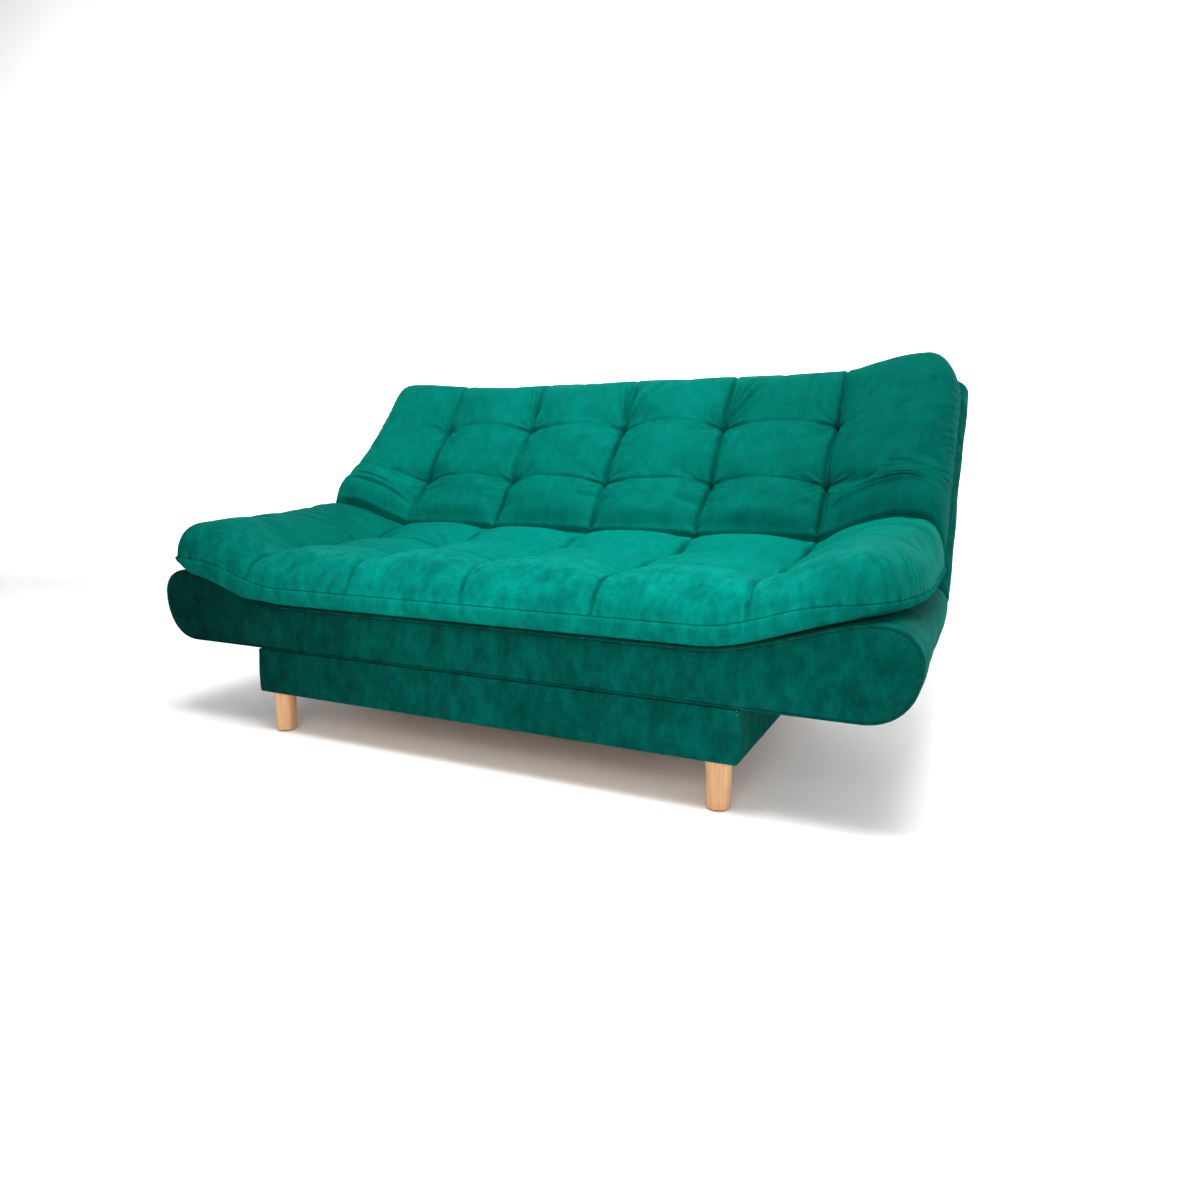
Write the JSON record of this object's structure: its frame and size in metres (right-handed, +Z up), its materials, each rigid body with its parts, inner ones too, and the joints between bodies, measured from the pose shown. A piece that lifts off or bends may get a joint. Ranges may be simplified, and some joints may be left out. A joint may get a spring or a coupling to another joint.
{
  "type": "sofa bed",
  "caption": "Click-clack sofa bed: tufted velvet pads on two boat-shaped upholstered frames, the back reclining flat, over a storage base on tapered wooden legs.",
  "frame": {"origin": "on the floor, under the centre of the overall box", "axes": "+X along the sofa, +Y towards the rear, +Z up"},
  "size_m": [1.904, 1.1971, 0.9466],
  "materials": {
    "velvet": "cut-pile velvet, emerald green",
    "beech": "clear-lacquered beech",
    "pine": "planed pine",
    "plywood": "birch plywood",
    "slat_beech": "laminated beech slats",
    "hardboard": "smooth hardboard",
    "black_steel": "black powder coat",
    "zinc": "zinc-plated steel",
    "spring_steel": "spring steel wire",
    "black_plastic": "black moulded plastic",
    "felt": "grey felt",
    "lining": "black non-woven dust cover"
  },
  "bodies": {
    "base": {"base_bottom_battens": "pine", "base_bottom_panel": "hardboard", "base_bracket_left": "black_steel", "base_bracket_right": "black_steel", "base_corner_blocks": "pine", "base_cover": "velvet", "base_front_board": "pine", "base_rear_board": "pine", "base_rest_pads": "felt", "base_side_board_left": "pine", "base_side_board_right": "pine", "bracket_screws": "zinc", "leg_bolts": "zinc", "leg_front_left": "beech", "leg_front_right": "beech", "leg_glides": "black_plastic", "leg_rear_left": "beech", "leg_rear_right": "beech", "lift_pin_left": "zinc", "lift_pin_right": "zinc"},
    "seat": {"arm_screws": "zinc", "lid_arm_left": "black_steel", "lid_arm_right": "black_steel", "pawl_pin_left": "zinc", "pawl_pin_right": "zinc", "pawl_spring_left": "spring_steel", "pawl_spring_right": "spring_steel", "recline_pin_left": "zinc", "recline_pin_right": "zinc", "seat_cross_rails": "pine", "seat_dust_cover": "lining", "seat_end_board_left": "pine", "seat_end_board_right": "pine", "seat_frame_cover": "velvet", "seat_hinge_panel": "plywood", "seat_mechanism_rails": "pine", "seat_outer_panel": "plywood", "seat_pad": "velvet", "seat_plate_bolts": "zinc", "seat_plate_left": "black_steel", "seat_plate_right": "black_steel", "seat_slat_caps": "black_plastic", "seat_slats": "slat_beech"},
    "back": {"back_cross_rails": "pine", "back_dust_cover": "lining", "back_end_board_left": "pine", "back_end_board_right": "pine", "back_frame_cover": "velvet", "back_hinge_panel": "plywood", "back_mechanism_rails": "pine", "back_outer_panel": "plywood", "back_pad": "velvet", "back_plate_bolts": "zinc", "back_plate_left": "black_steel", "back_plate_right": "black_steel", "back_slat_caps": "black_plastic", "back_slats": "slat_beech"},
    "pawl_left": {"pawl_left": "black_steel"},
    "pawl_right": {"pawl_right": "black_steel"}
  },
  "joints": [
    {"name": "seat_lift", "type": "hinge", "parent": "base", "child": "seat", "pos_m": [0, 0.2224, 0.2], "axis": [-1, 0, 0], "range_deg": [0, 21]},
    {"name": "back_recline", "type": "hinge", "parent": "seat", "child": "back", "pos_m": [0, 0.0914, 0.33], "axis": [-1, 0, 0], "range_deg": [-6, 52.3]},
    {"name": "pawl_left_release", "type": "hinge", "parent": "seat", "child": "pawl_left", "pos_m": [-0.7715, 0.0064, 0.285], "axis": [-1, 0, 0], "range_deg": [0, 12], "stiffness_Nm_per_rad": 0.4, "springref_deg": -11.46},
    {"name": "pawl_right_release", "type": "hinge", "parent": "seat", "child": "pawl_right", "pos_m": [0.7715, 0.0064, 0.285], "axis": [-1, 0, 0], "range_deg": [0, 12], "stiffness_Nm_per_rad": 0.4, "springref_deg": -11.46}
  ]
}
